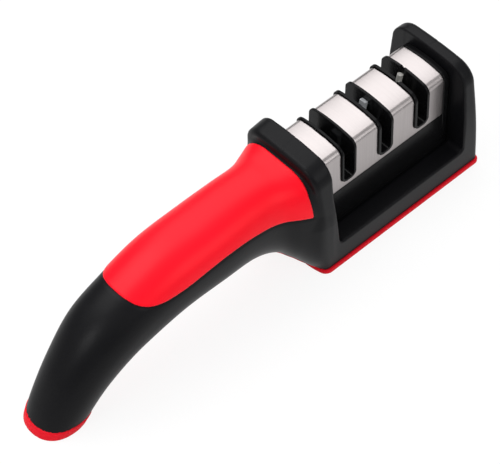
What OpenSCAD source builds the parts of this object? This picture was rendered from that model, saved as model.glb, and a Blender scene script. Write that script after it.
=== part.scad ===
// Pull-through sharpener for knives and scissors: a hollow handle that flares into a cradle with
// two end walls, and a lift-out cartridge with three slots that stands in the cradle.
// +X runs from the tail of the handle to the head, +Z is up, the table is z = 0.

/* [Overall] */
// Length from the tail of the foot to the far end of the head
total_length = 210; // [200:0.5:230]
// Length of the sole under the head
head_length = 83.2; // [82:0.2:90]
// Width of the sole under the head
sole_width = 44.4; // [42.4:0.2:48]
// Height of the free end wall above the table
wall_height = 55.4; // [54.4:0.2:59]
// Height of the collar beside the handle above the table
collar_height = 58.4; // [57.4:0.2:62]

/* [Handle] */
// Width of the handle at the grip
handle_width = 29.2; // [26:0.2:32]
// Thickness of the handle at the grip, top to bottom
handle_depth = 31.2; // [28:0.2:34]
// Height of the grip's centre line above the table
handle_rise = 37.2; // [35.2:0.2:39.2]
// Wall of the hollow shell
shell_wall = 2.2; // [1.8:0.1:2.6]
// Thickness of the soft grip let into the shell
grip_depth = 1.6; // [1.2:0.1:2]
// How far the soft grip stands above the shell
grip_proud = 0.3; // [0.1:0.1:0.6]

/* [Sole] */
// Thickness of the soft sole
sole_thickness = 2; // [1.6:0.1:3]
// How far the sole stands out past the shell of the head
sole_lip = 0.6; // [0.4:0.1:1.5]
// Thickness of the stiff plate above the sole
plate_thickness = 2.4; // [2.2:0.1:3]

/* [Cradle] */
// Clear length between the end walls
cradle_length = 68.6; // [67:0.2:70]
// Thickness of the free end wall at its top
wall_thickness = 5.8; // [5:0.1:7]
// How far the end walls are drawn in at their top, on each side
wall_taper = 2.2; // [1.2:0.1:3]
// Radius of the end walls' upper corners
wall_round = 7; // [5:0.5:9]
// Height of the ledge on both sides of the cartridge, above the table
ledge_height = 12.4; // [11.4:0.1:13.4]
// How deep the cartridge's seat is sunk in the ledge
seat_depth = 0.6; // [0.4:0.1:1]
// How far the collar's foot reaches over the ledge, beside the cartridge
collar_foot = 2.6; // [1:0.1:3]

/* [Cartridge] */
// Width of the cartridge over the steel
cartridge_width = 25.2; // [23:0.2:27]
// Height of the steel's top above the table
steel_top = 51.4; // [50.4:0.1:53]
// Height of the steel's lower edge above the table
steel_skirt = 29.5; // [25:0.5:30]
// Thickness of the steel sheet
steel_thickness = 0.6; // [0.4:0.1:0.8]
// Thickness of each end cap
cap_thickness = 2.8; // [2.6:0.1:3.4]
// Distance from slot to slot
slot_pitch = 19.1; // [18.6:0.1:19.6]
// Clear width of each slot
slot_width = 5.2; // [4.8:0.1:5.8]
// Height of the slots' floor above the table
slot_floor = 33.6; // [33:0.2:35]
// Wall of the slot inserts
insert_wall = 1.1; // [0.9:0.1:1.4]
// How far the inserts' rims stand above the steel
rim_proud = 0.7; // [0.4:0.1:1]

/* [Sharpening elements] */
// Lean of the bars and rods from upright
element_lean = 13; // [11:0.5:14]
// Height of their upper ends above the table
element_top = 49; // [47:0.5:50]
// Thickness of the carbide bars
bar_thickness = 1.6; // [1.3:0.1:1.9]
// Width of the carbide bars along the slot
bar_width = 3; // [2.4:0.1:3.1]
// Diameter of the ceramic rods
rod_diameter = 2.4; // [2:0.1:2.8]
// Height of the seat that holds them, above the slot's floor
seat_height = 5; // [4:0.2:7]

/* [Fasteners] */
// Diameter of the screws that hold the plate
plate_screw = 2.6; // [2.3:0.1:2.9]
// Diameter of the small screws in the cartridge
small_screw = 2; // [1.6:0.1:2.4]

/* [Clearances] */
// Gap between pieces that are screwed or pressed together
fit_gap = 0.1; // [0.05:0.01:0.15]
// Gap round the lift-out cartridge
lift_gap = 0.3; // [0.2:0.05:0.5]
// Radial clearance of the turning rods in their bores
rod_gap = 0.05; // [0.03:0.01:0.08]

/* [Hidden] */
$fn = 48;
far = 300;
skin = 0.1;

black = "#1c1c1e";
red = "#f01a2e";
steel = "#d8d8d6";
screw_grey = "#a8a8ac";

// places along the sharpener
head_end = total_length / 2;
tail_end = -head_end;
sole_start = head_end - head_length;
collar_overhang = 3.5;
collar_face = sole_start - collar_overhang;
handle_length = collar_face - tail_end;

// the cradle: the free wall stands on the far end, the rest is the collar on the handle's side
end_lean = 3.3;
cradle_end = head_end - sole_lip - end_lean - wall_thickness;
cradle_start = cradle_end - cradle_length;
cradle_middle = (cradle_start + cradle_end) / 2;
head_half = sole_width / 2 - sole_lip;
top_half = head_half - wall_taper;
taper_start = 18;
plan_round = 2.5;
cradle_round = 2.5;
collar_foot_top = 40;
seat_floor = ledge_height - seat_depth;

// the plate lies on the sole, inside the shell
plate_top = sole_thickness + plate_thickness;
plate_rim = 2.5;
strip_half = 6.5;
strip_start = 5;
handle_inset = grip_depth + shell_wall;

// key on the seat's floor that the cartridge stands over
key_length = 50;
key_width = 8;
key_height = 1.6;

// heights in the cartridge
floor_bottom = seat_floor + fit_gap;
floor_cover = 1.4;
floor_thickness = key_height + floor_cover;
core_bottom = floor_bottom + floor_thickness;
core_web = 5;
pocket_floor = core_bottom + core_web;
cutout_bottom = slot_floor - insert_wall;
insert_width = slot_width + 2 * insert_wall;
cartridge_half = cartridge_width / 2;
tongue_inset = 5;
tongue_half = cartridge_half - tongue_inset;
cartridge_length = cradle_length - 2 * lift_gap;
core_length = cartridge_length - 2 * cap_thickness;
shoulder_round = 3;
shoulder_drop = 0.8;
side_taper = 0.9;
crown_steps = 8;
slot_round = 1.6;
slots = [for (i = [-1, 0, 1]) cradle_middle + i * slot_pitch];

// the elements stand in pairs, one behind the other
element_offset = 1.6;
element_raise = 0.6;
element_bottom = slot_floor + element_raise;
element_length = (element_top - element_bottom) / cos(element_lean);
bar_reach = slot_width / 2 - bar_thickness / 2 / cos(element_lean);
rod_sink = 0.55;
rod_reach = slot_width / 2 + rod_sink - rod_diameter / 2 / cos(element_lean);
scissor_rise = 11;
scissor_top = slot_floor + scissor_rise;
scissor_lean = 8;
scissor_width = 4;
scissor_thickness = 2;
scissor_length = (scissor_top - element_bottom) / cos(scissor_lean);
seat_margin = 1.4;
seat_half = element_offset + max(bar_width, rod_diameter) / 2 + seat_margin;

// screws
screw_head = 1.8;
head_height = 1.3;
recess_length = 1.1;
recess_width = 0.5;
recess_depth = 0.7;
bore_end = 0.6;
screw_sink = 0.5;
cap_sink = 0.1;
plate_screw_length = 10;
floor_screw_length = 7;
insert_screw_length = 9;
cap_screw_length = 6;
handle_screws = [0.45, 0.78];
boss_wall = 2.2;
boss_radius = plate_screw / 2 + boss_wall;
wall_screw_y = head_half - plate_rim - 2 * boss_radius;
floor_screw_x = (core_length / 2 + slot_pitch + insert_width / 2) / 2;
floor_screw_y = cartridge_half - tongue_inset;
cap_screw_y = cartridge_half - tongue_inset;
cap_screw_z = (steel_skirt + steel_top) / 2;

// Handle sections from the tail to the grip: place along the handle, height of the centre line,
// lean, half width, half depth, squareness. Sizes are shares of the handle's own sizes.
handle_shares = [
    [0.058, -0.168, 57, 0.69, 0.57, 2.2],
    [0.1122, 0.117, 55, 0.77, 0.656, 2.2],
    [0.19, 0.445, 46, 0.855, 0.74, 2.2],
    [0.287, 0.727, 33, 0.955, 0.84, 2.3],
    [0.3961, 0.874, 17, 0.985, 0.935, 2.4],
    [0.5295, 0.985, 5, 1.00, 0.97, 2.4],
    [0.6791, 1.00, 0, 1.01, 1.01, 2.4],
    [0.8084, 0.99, 0, 1.00, 1.075, 2.4],
];

// The neck: sections placed from the collar, with their top and bottom lines, half width,
// squareness and taper. It drops to the sole and widens to the collar.
neck_inset = 1.6;
neck_half = head_half - neck_inset;
neck_spread = neck_half - handle_width / 2;
neck_lines = [
    [-12.4, collar_height - 5.3, sole_thickness + 13.1, handle_width / 2 + 0.14 * neck_spread, 2.4, 0.05],
    [-5.4, collar_height - 6, sole_thickness + 5.5, handle_width / 2 + 0.62 * neck_spread, 2.6, 0.08],
    [0.9, collar_height - 5, sole_thickness - 0.5, neck_half, 3.2, 0.12],
    [5.6, collar_height - 4.4, sole_thickness, neck_half - 0.3, 4, 0.12],
];

// Places of the plate's screws, and the height of the plate's underside there
plate_places = concat(
    [for (y = [-1, 1]) [cradle_end + wall_thickness / 2, y * wall_screw_y]],
    [for (s = handle_screws) [tail_end + s * handle_length, 0]]
);
function plate_level(x) = lookup(x, concat(parting(sole_thickness), [[head_end, sole_thickness]]));

// [x, z, lean, half width, half depth, squareness, taper] of each section
sections = concat(
    [for (s = handle_shares) [
        tail_end + s[0] * handle_length, s[1] * handle_rise, s[2],
        s[3] * handle_width / 2, s[4] * handle_depth / 2, s[5], 0]],
    [for (n = neck_lines) [
        collar_face + n[0], (n[1] + n[2]) / 2, 0, n[3], (n[1] - n[2]) / 2, n[4], n[5]]]
);
ring_sides = 32;
ring_steps = 4;
spine = smooth(sections, ring_steps);

// Lower edge of the soft grip, seen from the side: [share of the handle's length, share of its rise]
grip_shares = [
    [0.346, 1.32], [0.3462, 1.21], [0.36, 1.165], [0.4, 1.108],
    [0.4617, 1.08], [0.5355, 1.09], [0.6512, 1.119], [0.7297, 1.13],
    [0.8085, 1.104], [0.8868, 1.033], [0.9541, 0.963], [1, 0.93],
];
grip_edge = smooth(
    [for (g = grip_shares) [tail_end + g[0] * handle_length, g[1] * handle_rise]], ring_steps);

// points of a smooth curve through a list of points
function smooth(list, steps) = concat(
    [for (i = [0 : len(list) - 2]) for (k = [0 : steps - 1])
        span(list[max(i - 1, 0)], list[i], list[i + 1], list[min(i + 2, len(list) - 1)], k / steps)],
    [list[len(list) - 1]]
);
function span(a, b, c, d, t) =
    (2 * b + (c - a) * t + (2 * a - 5 * b + 4 * c - d) * t * t + (3 * b - a - 3 * c + d) * t * t * t) / 2;

// one ring of the handle, drawn in by an inset
function power(v, n) = sign(v) * pow(abs(v), 2 / n);
function ring(s, inset) = [
    for (k = [0 : ring_sides - 1])
        let (a = 360 * k / ring_sides, h = s[4] - inset, v = h * power(sin(a), s[5]))
        [
            s[0] - sin(s[2]) * v,
            (s[3] - inset) * power(cos(a), s[5]) * (1 - s[6] * v / h),
            s[1] + cos(s[2]) * v,
        ]
];

// line above the underside where a layer ends, seen from the side, with its corners between the rings
half_way = [for (i = [0 : len(spine) - 2]) (spine[i] + spine[i + 1]) / 2];
function parting(raise) = concat(
    [for (s = half_way) if (s[0] < collar_face)
        [s[0] + sin(s[2]) * (s[4] - raise), max(s[1] - cos(s[2]) * (s[4] - raise), raise)]],
    [[sole_start + sole_lip, raise]]
);

// a solid through the rings of the handle, drawn in by an inset
module handle_form(inset) {
    n = ring_sides;
    last = len(spine) - 1;
    sides = [for (i = [0 : last - 1], k = [0 : n - 1])
        let (a = i * n + k, b = i * n + (k + 1) % n)
        each [[a, b + n, b], [a, a + n, b + n]]];
    caps = [[for (k = [0 : n - 1]) k], [for (k = [n - 1 : -1 : 0]) last * n + k]];
    polyhedron(
        points = [for (s = spine) each ring(s, inset)],
        faces = concat(sides, caps));
}

// a shape drawn in the side view, carried right through from front to back
module through() {
    translate([0, far / 2, 0])
        rotate([90, 0, 0])
            linear_extrude(far)
                children();
}

// a shape drawn in the end view, carried along X from one place
module along(start, length) {
    translate([start, 0, 0])
        rotate([90, 0, 90])
            linear_extrude(length)
                children();
}

// everything beyond a place along X
module beyond(x) {
    translate([x, -far, -far])
        cube(2 * far);
}

// everything under a parting line
module under(raise) {
    through()
        polygon(concat(
            [[tail_end - far, raise]], parting(raise),
            [[head_end + far, raise], [head_end + far, -far], [tail_end - far, -far]]));
}

// outline in plan with round corners
module rounded(x0, x1, half, radius) {
    hull()
        for (x = [x0 + radius, x1 - radius], y = [-1, 1] * (half - radius))
            translate([x, y])
                circle(radius, $fn = 32);
}

module slab(x0, x1, half, z, thickness) {
    translate([0, 0, z])
        linear_extrude(thickness)
            rounded(x0, x1, half, plan_round);
}

// end view of the head up to a height: sides that lean in, round upper corners
module wall_outline(height) {
    hull() {
        for (y = [-1, 1] * (top_half - wall_round))
            translate([y, height - wall_round])
                circle(wall_round, $fn = 32);
        translate([-sole_width / 2, 0])
            square([sole_width, taper_start]);
    }
}

// outside of the head before the cradle is cut: leaning ends, and a top line that falls to the free wall
module head_form() {
    end = head_end - sole_lip;
    intersection() {
        hull() {
            slab(sole_start + sole_lip, end, head_half, sole_thickness, skin);
            slab(collar_face, end - end_lean, head_half, collar_height + skin, skin);
        }
        hull() {
            along(collar_face - plan_round, skin)
                wall_outline(collar_height);
            along(head_end, skin)
                wall_outline(wall_height);
        }
    }
}

// space between the end walls down to the ledge, and the seat that the cartridge stands in
module cradle_space() {
    through()
        hull() {
            for (x = [cradle_start + collar_foot + cradle_round, cradle_end - cradle_round])
                translate([x, ledge_height + cradle_round])
                    circle(cradle_round, $fn = 32);
            translate([cradle_start, collar_foot_top])
                square([cradle_length, far]);
        }
    place_half = cartridge_half + lift_gap;
    difference() {
        translate([cradle_start + fit_gap, -place_half, seat_floor])
            cube([cradle_length - 2 * fit_gap, 2 * place_half, far]);
        translate([cradle_middle - key_length / 2, -key_width / 2, 0])
            cube([key_length, key_width, seat_floor + key_height]);
    }
}

// the stiff plate without its holes, drawn in by a gap
module plate_form(gap) {
    difference() {
        intersection() {
            linear_extrude(far)
                offset(-gap) {
                    rounded(tail_end + strip_start, sole_start + 2 * plate_rim, strip_half, strip_half);
                    rounded(
                        sole_start + plate_rim, head_end - sole_lip - plate_rim,
                        head_half - plate_rim, plan_round);
                }
            under(plate_top - gap);
        }
        under(sole_thickness);
    }
}

// screw standing on its head at z = 0, shank upwards
module screw(diameter, length) {
    difference() {
        union() {
            cylinder(d = diameter * screw_head, h = head_height);
            cylinder(d = diameter, h = head_height + length);
        }
        for (a = [0, 90])
            rotate(a)
                translate([-diameter * recess_length / 2, -recess_width / 2, -skin])
                    cube([diameter * recess_length, recess_width, recess_depth + skin]);
    }
}

// hole for such a screw: the head's seat, then the shank
module screw_hole(diameter, length) {
    translate([0, 0, -far])
        cylinder(d = diameter * screw_head + 2 * fit_gap, h = far + head_height);
    cylinder(d = diameter + 2 * fit_gap, h = head_height + length + bore_end);
}

module at_plate_screws() {
    for (p = plate_places)
        translate([p[0], p[1], plate_level(p[0]) + screw_sink])
            children();
}

// columns that take the screws inside the handle
module handle_bosses() {
    for (p = plate_places)
        if (p[0] < collar_face)
            translate([p[0], p[1], plate_level(p[0])])
                cylinder(r = boss_radius, h = handle_depth);
}

// side view of the soft grip
module grip_outline() {
    polygon(concat(grip_edge, [[collar_face, far], [grip_edge[0][0], far]]));
}

module body_shell() {
    color(black)
        difference() {
            union() {
                difference() {
                    union() {
                        handle_form(0);
                        head_form();
                    }
                    difference() {
                        handle_form(handle_inset);
                        beyond(collar_face + shell_wall);
                    }
                }
                intersection() {
                    handle_bosses();
                    handle_form(grip_depth + shell_wall / 2);
                }
            }
            under(sole_thickness);
            plate_form(-fit_gap);
            cradle_space();
            difference() {
                through()
                    grip_outline();
                handle_form(grip_depth);
                beyond(collar_face);
            }
            at_plate_screws()
                cylinder(d = plate_screw + 2 * fit_gap, h = head_height + plate_screw_length + bore_end);
        }
}

module grip_inlay() {
    color(red)
        difference() {
            intersection() {
                handle_form(-grip_proud);
                through()
                    offset(-fit_gap)
                        grip_outline();
            }
            handle_form(grip_depth);
            head_form();
        }
}

module base_plate() {
    color(black)
        difference() {
            intersection() {
                plate_form(0);
                union() {
                    handle_form(shell_wall);
                    beyond(collar_face);
                }
            }
            at_plate_screws()
                screw_hole(plate_screw, plate_screw_length);
        }
}

module base_sole() {
    color(red)
        union() {
            difference() {
                intersection() {
                    handle_form(-sole_lip / 2);
                    under(sole_thickness);
                }
                translate([-far, -far, -2 * far])
                    cube(2 * far);
                beyond(sole_start + plan_round);
            }
            slab(sole_start, head_end, sole_width / 2, 0, sole_thickness);
        }
}

module plate_screws() {
    color(screw_grey)
        at_plate_screws()
            screw(plate_screw, plate_screw_length);
}

// end view of the cartridge over the steel, grown by an amount, down to a height
module cartridge_outline(grow, bottom) {
    r = shoulder_round;
    foot = cartridge_half - r;
    brow = foot - side_taper;
    intersection() {
        offset(r + grow, $fn = 64)
            polygon(concat(
                [[-foot, 0], [foot, 0]],
                [for (i = [0 : crown_steps])
                    let (share = 1 - 2 * i / crown_steps)
                    [share * brow, steel_top - r - shoulder_drop * share * share]]));
        translate([-far, bottom])
            square(2 * far);
    }
}

// front view of a slot: round at the bottom, open at the top
module slot_outline(width, bottom, radius) {
    hull() {
        for (x = [-1, 1] * (width / 2 - radius))
            translate([x, bottom + radius])
                circle(radius, $fn = 32);
        translate([-width / 2, steel_top])
            square([width, far]);
    }
}

module cartridge_core() {
    inside = -steel_thickness - fit_gap;
    pocket = insert_width + 2 * fit_gap;
    color(black)
        difference() {
            union() {
                along(cradle_middle - core_length / 2, core_length)
                    cartridge_outline(inside, core_bottom);
                along(cradle_middle - core_length / 2, core_length)
                    intersection() {
                        cartridge_outline(0, core_bottom);
                        translate([-far, 0])
                            square([2 * far, steel_skirt - fit_gap]);
                    }
            }
            for (x = slots) {
                translate([x - pocket / 2, -cartridge_width, cutout_bottom - fit_gap])
                    cube([pocket, 2 * cartridge_width, far]);
                translate([x - pocket / 2, -tongue_half - fit_gap, pocket_floor])
                    cube([pocket, 2 * (tongue_half + fit_gap), far]);
            }
            at_insert_screws()
                screw_hole(small_screw, insert_screw_length);
            at_floor_screws()
                cylinder(d = small_screw + 2 * fit_gap, h = head_height + floor_screw_length + bore_end);
            at_cap_screws()
                cylinder(d = small_screw + 2 * fit_gap, h = head_height + cap_screw_length + bore_end);
        }
}

module cartridge_floor() {
    color(black)
        difference() {
            translate([cradle_middle - cartridge_length / 2, -cartridge_half, floor_bottom])
                cube([cartridge_length, cartridge_width, floor_thickness]);
            translate([
                cradle_middle - key_length / 2 - lift_gap, -key_width / 2 - lift_gap, floor_bottom - skin])
                cube([key_length + 2 * lift_gap, key_width + 2 * lift_gap, key_height + lift_gap]);
            at_floor_screws()
                screw_hole(small_screw, floor_screw_length);
        }
}

module at_floor_screws() {
    for (x = [-1, 1] * floor_screw_x, y = [-1, 1] * floor_screw_y)
        translate([cradle_middle + x, y, floor_bottom])
            children();
}

module floor_screws() {
    color(screw_grey)
        at_floor_screws()
            screw(small_screw, floor_screw_length);
}

module steel_cover() {
    color(steel)
        difference() {
            along(cradle_middle - core_length / 2, core_length)
                difference() {
                    cartridge_outline(0, steel_skirt);
                    cartridge_outline(-steel_thickness, 0);
                }
            for (x = slots)
                through()
                    translate([x, 0])
                        slot_outline(
                            insert_width + 2 * fit_gap, cutout_bottom - fit_gap,
                            slot_round + insert_wall);
        }
}

// end cap with the cartridge's outline, on the side given by its sign
module end_cap(side) {
    middle = cradle_middle + side * (core_length + cap_thickness) / 2;
    color(black)
        difference() {
            along(middle - cap_thickness / 2, cap_thickness)
                cartridge_outline(0, core_bottom);
            at_cap_screws()
                screw_hole(small_screw, cap_screw_length);
        }
}

module end_cap_near() end_cap(-1);
module end_cap_far() end_cap(1);

module at_cap_screws() {
    for (side = [-1, 1], y = [-1, 1] * cap_screw_y)
        translate([cradle_middle + side * (cartridge_length / 2 - cap_sink), y, cap_screw_z])
            rotate([0, -90 * side, 0])
                children();
}

module cap_screws() {
    color(screw_grey)
        at_cap_screws()
            screw(small_screw, cap_screw_length);
}

// black insert that lines one slot, with a seat for its sharpening elements
module slot_insert(x) {
    difference() {
        union() {
            intersection() {
                along(x - insert_width / 2, insert_width)
                    cartridge_outline(rim_proud, cutout_bottom);
                through()
                    translate([x, 0])
                        slot_outline(insert_width, cutout_bottom, slot_round + insert_wall);
            }
            translate([x - insert_width / 2, -tongue_half, pocket_floor])
                cube([insert_width, 2 * tongue_half, slot_floor - pocket_floor]);
        }
        difference() {
            through()
                translate([x, 0])
                    slot_outline(slot_width, slot_floor, slot_round);
            translate([x - slot_width, -seat_half, 0])
                cube([2 * slot_width, 2 * seat_half, slot_floor + seat_height]);
        }
        at_insert_screws()
            cylinder(d = small_screw + 2 * fit_gap, h = head_height + insert_screw_length + bore_end);
    }
}

module at_insert_screws() {
    for (x = slots)
        translate([x, 0, core_bottom])
            children();
}

module insert_screws() {
    color(screw_grey)
        at_insert_screws()
            screw(small_screw, insert_screw_length);
}

// puts an element with its upper end at the top of a slot, leaning to one side
module leaning(x, side, reach) {
    translate([x + side * reach, side * element_offset, element_top])
        rotate([0, side * element_lean, 0])
            children();
}

module coarse_bar(side, gap) {
    leaning(slots[1], side, bar_reach)
        translate([-bar_thickness / 2 - gap, -bar_width / 2 - gap, -element_length - gap])
            cube([bar_thickness + 2 * gap, bar_width + 2 * gap, element_length + gap]);
}

module fine_rod(side, gap, extra) {
    leaning(slots[2], side, rod_reach)
        translate([0, 0, -element_length - gap])
            cylinder(d = rod_diameter + 2 * gap, h = element_length + gap + extra);
}

module scissor_blank(gap) {
    translate([slots[0], 0, scissor_top])
        rotate([0, -scissor_lean, 0])
            translate([-scissor_thickness / 2 - gap, -scissor_width / 2 - gap, -scissor_length - gap])
                cube([scissor_thickness + 2 * gap, scissor_width + 2 * gap, scissor_length + gap]);
}

module scissor_insert() {
    color(black)
        difference() {
            slot_insert(slots[0]);
            scissor_blank(fit_gap);
        }
}

module coarse_insert() {
    color(black)
        difference() {
            slot_insert(slots[1]);
            for (side = [-1, 1])
                coarse_bar(side, fit_gap);
        }
}

module fine_insert() {
    color(black)
        difference() {
            slot_insert(slots[2]);
            for (side = [-1, 1])
                fine_rod(side, rod_gap, wall_height);
        }
}

module scissor_bar() color("#8d9096") scissor_blank(0);
module coarse_bar_left() color("#8d9096") coarse_bar(-1, 0);
module coarse_bar_right() color("#8d9096") coarse_bar(1, 0);
module fine_rod_left() color("#f2f0ea") fine_rod(-1, 0, 0);
module fine_rod_right() color("#f2f0ea") fine_rod(1, 0, 0);

body_shell();
grip_inlay();
base_plate();
base_sole();
plate_screws();
cartridge_core();
cartridge_floor();
floor_screws();
steel_cover();
end_cap_near();
end_cap_far();
cap_screws();
scissor_insert();
coarse_insert();
fine_insert();
insert_screws();
scissor_bar();
coarse_bar_left();
coarse_bar_right();
fine_rod_left();
fine_rod_right();
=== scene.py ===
# A pull-through sharpener for knives and scissors: black moulded body with a soft red grip and sole,
# and a lift-out cartridge under a brushed steel cover. Sizes here are in millimetres until a mesh is made.
import math

import bmesh
import bpy
import numpy as np
from mathutils import Matrix, Vector


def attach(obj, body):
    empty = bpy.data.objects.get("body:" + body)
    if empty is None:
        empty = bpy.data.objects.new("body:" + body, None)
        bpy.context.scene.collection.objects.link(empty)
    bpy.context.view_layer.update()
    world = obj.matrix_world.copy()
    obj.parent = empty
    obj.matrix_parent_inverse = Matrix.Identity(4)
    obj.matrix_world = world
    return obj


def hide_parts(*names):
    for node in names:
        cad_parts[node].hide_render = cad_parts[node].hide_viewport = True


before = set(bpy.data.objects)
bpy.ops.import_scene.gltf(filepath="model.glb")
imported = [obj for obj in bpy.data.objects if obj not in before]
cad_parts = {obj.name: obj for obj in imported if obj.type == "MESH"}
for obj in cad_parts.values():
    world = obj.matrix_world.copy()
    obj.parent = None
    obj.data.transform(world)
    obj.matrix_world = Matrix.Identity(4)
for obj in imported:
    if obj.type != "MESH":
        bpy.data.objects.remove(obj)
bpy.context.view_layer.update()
MM = 0.001

# ---- sizes shared with the solids

HEAD_END, TAIL_END = 105.0, -105.0
SOLE_START, COLLAR_FACE = 21.8, 18.3
HANDLE_LENGTH = COLLAR_FACE - TAIL_END
HANDLE_WIDTH, HANDLE_DEPTH, HANDLE_RISE = 29.2, 31.2, 37.2
WALL_TOP, COLLAR_TOP = 55.4, 58.4
HEAD_HALF, SOLE_HALF = 21.6, 22.2
TAPER_START, WALL_TAPER, WALL_ROUND = 18.0, 2.2, 7.0
SIDE_LEAN = (SOLE_HALF - (HEAD_HALF - WALL_TAPER)) / (WALL_TOP - WALL_ROUND - TAPER_START)
END_LEAN, COLLAR_LEAN = 3.3, 4.1
SOLE_THICKNESS, SOLE_LIP = 2.0, 0.6
GRIP_PROUD, GRIP_DEPTH = 0.3, 1.6
CRADLE = (26.7, 95.3)
LEDGE, SEAT_FLOOR, SEAT_HALF = 12.4, 11.8, 12.9
COLLAR_FOOT, COLLAR_FOOT_TOP = 2.6, 40.0
KEY_ENDS, KEY_HALF, KEY_TOP = (36.0, 86.0), 4.0, SEAT_FLOOR + 1.6
TAIL_BAND, TAIL_BAND_ENDS = 3.6, (-88.0, -78.0)
COVER = (29.8, 92.2)
COVER_TOP, COVER_SKIRT, COVER_HALF, SHEET = 51.4, 29.5, 12.6, 0.6
COVER_LEAN, COVER_CROWN, COVER_CROWN_HALF = 0.0189, 0.8, 8.7
SLOTS, SLOT_HALF, SLOT_BOTTOM, SLOT_CORNER = (41.9, 61.0, 80.1), 3.8, 32.4, 2.7
CAP_FACES, CAP_BOTTOM = (27.0, 95.0), 14.9
CAP_SEAT, CAP_SEAT_DEPTH, CAP_HOLE = 1.9, 1.4, 1.1
CAP_SCREW_Y, CAP_SCREW_Z = 7.6, 40.45

# ---- sizes of the finer forms: bends, rounds, fillets, laps and fine lines

# Height of the head's top along X: highest where the collar meets the cradle, lower towards both ends.
HEAD_TOP = ((COLLAR_FACE, CRADLE[0], HEAD_END), (COLLAR_TOP - 1.5, COLLAR_TOP - 0.1, WALL_TOP))
HEAD_CROWN, SIDE_BEND, FLANK_BEND = 0.0035, 1.2, 1.0
MOULD_LINE, MOULD_LINE_HALF = 0.14, 0.45
WALL_EDGE, COLLAR_EDGE, CRADLE_EDGE = 2.2, 2.0, 0.6
CRADLE_FLARE, LEDGE_FILLET = 0.2, 2.5
SEAT_INSET, SEAT_CORNER, SEAT_FILLET, SEAT_EDGE, KEY_EDGE = 0.1, 0.4, 0.3, 0.5, 0.5
NECK_FILLET, NECK_FILLET_GAIN, NECK_FILLET_FROM, NECK_FILLET_OVER = 1.5, 3.5, 1.0, 7.0
GROOVE_DEPTH, GROOVE_PLACE, GROOVE_HALF = 0.22, 0.25, 0.45
GROOVE_FADE_FROM, GROOVE_FADE_OVER = 0.6, 2.0
GRIP_LAP, HANDLE_LAP, STRIP_LAP = 0.8, 0.4, 4
GRIP_EDGE_ROUND, GRIP_END_ROUND = 0.7, 0.4
SOLE_BOW, SOLE_BOW_HEIGHT = 2.4, 12
SOLE_CORNER, SOLE_EDGE, SOLE_FILLET = 2.5, 0.5, 1.2
SHOULDER, SHEET_EDGE = 2.3, 0.12
CAP_EDGE, CAP_HOLE_EDGE = 0.3, 0.12

# Handle sections from the tail to the grip: share of the length, height of the centre line as a share of
# the rise, lean in degrees, half width and half depth as shares, squareness.
HANDLE_SECTIONS = [
    (0.058, -0.168, 57, 0.69, 0.57, 2.2),
    (0.1122, 0.117, 55, 0.77, 0.656, 2.2),
    (0.19, 0.445, 46, 0.855, 0.74, 2.2),
    (0.287, 0.727, 33, 0.948, 0.836, 2.3),
    (0.3961, 0.874, 17, 0.96, 0.918, 2.4),
    (0.5295, 0.985, 5, 1.00, 0.97, 2.4),
    (0.6791, 1.00, 0, 1.01, 1.01, 2.4),
    (0.8084, 0.99, 0, 1.00, 1.075, 2.4),
]
# Neck sections counted from the collar: place, top, bottom, share of the widening, squareness, taper.
NECK_HALF = HEAD_HALF - 1.6
NECK_SECTIONS = [
    (-12.4, COLLAR_TOP - 5.3, SOLE_THICKNESS + 13.1, 0.14, 2.6, 0.04),
    (-5.4, COLLAR_TOP - 6.0, SOLE_THICKNESS + 6.2, 0.62, 3.1, 0.05),
    (0.9, COLLAR_TOP - 5.0, SOLE_THICKNESS - 0.5, 1.00, 3.9, 0.08),
    (5.6, COLLAR_TOP - 4.4, SOLE_THICKNESS, 0.94, 4.2, 0.10),
]
# Lower edge of the soft grip in the side view, as shares of the handle's length and rise.
GRIP_EDGE = [
    (0.3495, 1.34), (0.3498, 1.247), (0.3525, 1.231), (0.3594, 1.212), (0.3748, 1.176), (0.4002, 1.1385),
    (0.428, 1.117), (0.462, 1.107), (0.5357, 1.1155), (0.613, 1.1371), (0.6917, 1.150), (0.7705, 1.1422),
    (0.8489, 1.1068), (0.9207, 1.0385), (0.9813, 0.984), (1.0, 0.975),
]
# Height and place of the grip's end by the collar, from its lower corner to its top.
GRIP_END = ((36.0, 17.5), (46.0, 17.1), (53.0, 17.7))
# Corners of the side view that the tables below cover.
SIDE_VIEW = ((-116, -36), (38, 74))


# ---- forms as distance fields: negative inside, in millimetres

def smooth_through(points, steps):
    """A smooth curve through rows of numbers, with steps pieces between neighbours."""
    rows = np.asarray(points, float)
    last = len(rows) - 1
    made = []
    for i in range(last):
        a, b, c, d = rows[max(i - 1, 0)], rows[i], rows[i + 1], rows[min(i + 2, last)]
        for t in np.arange(steps) / steps:
            made.append((2 * b + (c - a) * t + (2 * a - 5 * b + 4 * c - d) * t ** 2
                         + (3 * b - a - 3 * c + d) * t ** 3) / 2)
    made.append(rows[last])
    return np.array(made)


def handle_spine():
    """Rows of x, z, lean, half width, half depth, squareness and taper along the handle."""
    rows = [(TAIL_END + s * HANDLE_LENGTH, z * HANDLE_RISE, lean,
             w * HANDLE_WIDTH / 2, d * HANDLE_DEPTH / 2, n, 0)
            for s, z, lean, w, d, n in HANDLE_SECTIONS]
    for x, top, bottom, widening, n, taper in NECK_SECTIONS:
        half = HANDLE_WIDTH / 2 + widening * (NECK_HALF - HANDLE_WIDTH / 2)
        rows.append((COLLAR_FACE + x, (top + bottom) / 2, 0, half, (top - bottom) / 2, n, taper))
    return smooth_through(rows, 24)


SPINE = handle_spine()
SPINE_END = SPINE[-1, 0]


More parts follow.
